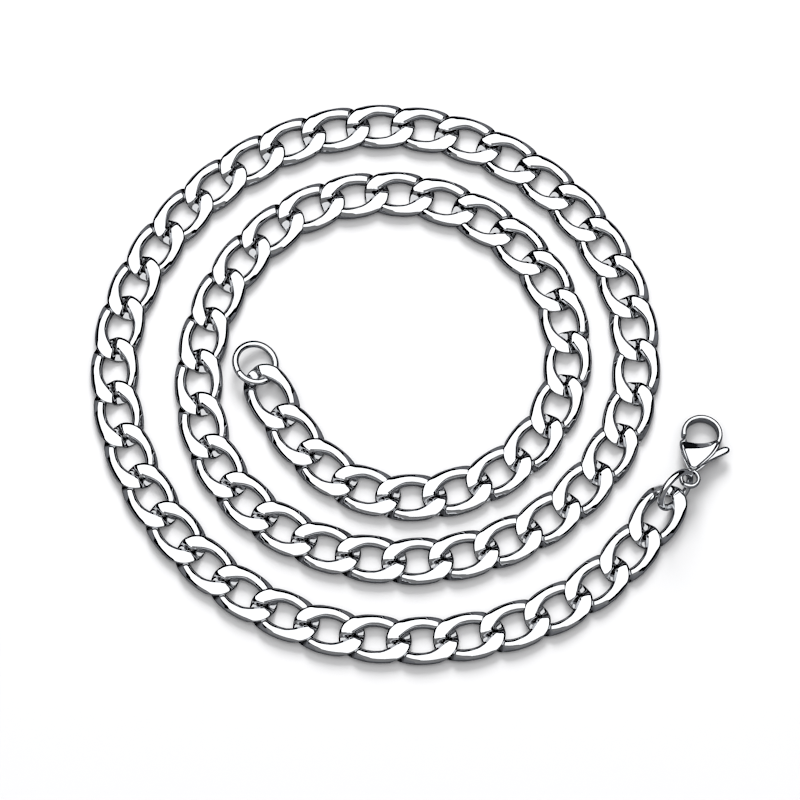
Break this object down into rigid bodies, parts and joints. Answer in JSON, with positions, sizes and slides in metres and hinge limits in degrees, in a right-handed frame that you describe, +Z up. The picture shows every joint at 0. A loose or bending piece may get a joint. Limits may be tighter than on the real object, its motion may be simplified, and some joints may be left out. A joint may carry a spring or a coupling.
{
  "type": "curb chain necklace",
  "caption": "Polished steel curb chain necklace lying unclasped in a loose flat spiral, with a lobster clasp on a standing jump ring outside and a plain jump ring inside.",
  "frame": {"origin": "middle of the bounding box, at the height of the table the necklace lies on", "axes": "+Z up from the table, the clasp at the +X end, the camera of the picture looks along +Y"},
  "size_m": [0.0926, 0.0862, 0.0067],
  "materials": {
    "link_steel": "polished stainless steel, ground and buffed",
    "ring_steel": "polished stainless steel wire",
    "clasp_steel": "polished cast stainless steel",
    "lever_steel": "polished stainless steel, stamped"
  },
  "bodies": {
    "necklace": {"chain_outer": "link_steel", "chain_inner": "link_steel", "clasp_ring": "ring_steel", "end_ring": "ring_steel", "clasp_body": "clasp_steel", "clasp_rivet": "clasp_steel"},
    "lever": {"clasp_lever": "lever_steel"}
  },
  "joints": [
    {"name": "lever_pivot", "type": "hinge", "parent": "necklace", "child": "lever", "pos_m": [0.0413, -0.01327, 0.00209], "axis": [-0.0477, -0.1661, -0.985], "range_deg": [0, 28], "stiffness_Nm_per_rad": 0.004, "springref_deg": -20.05}
  ]
}
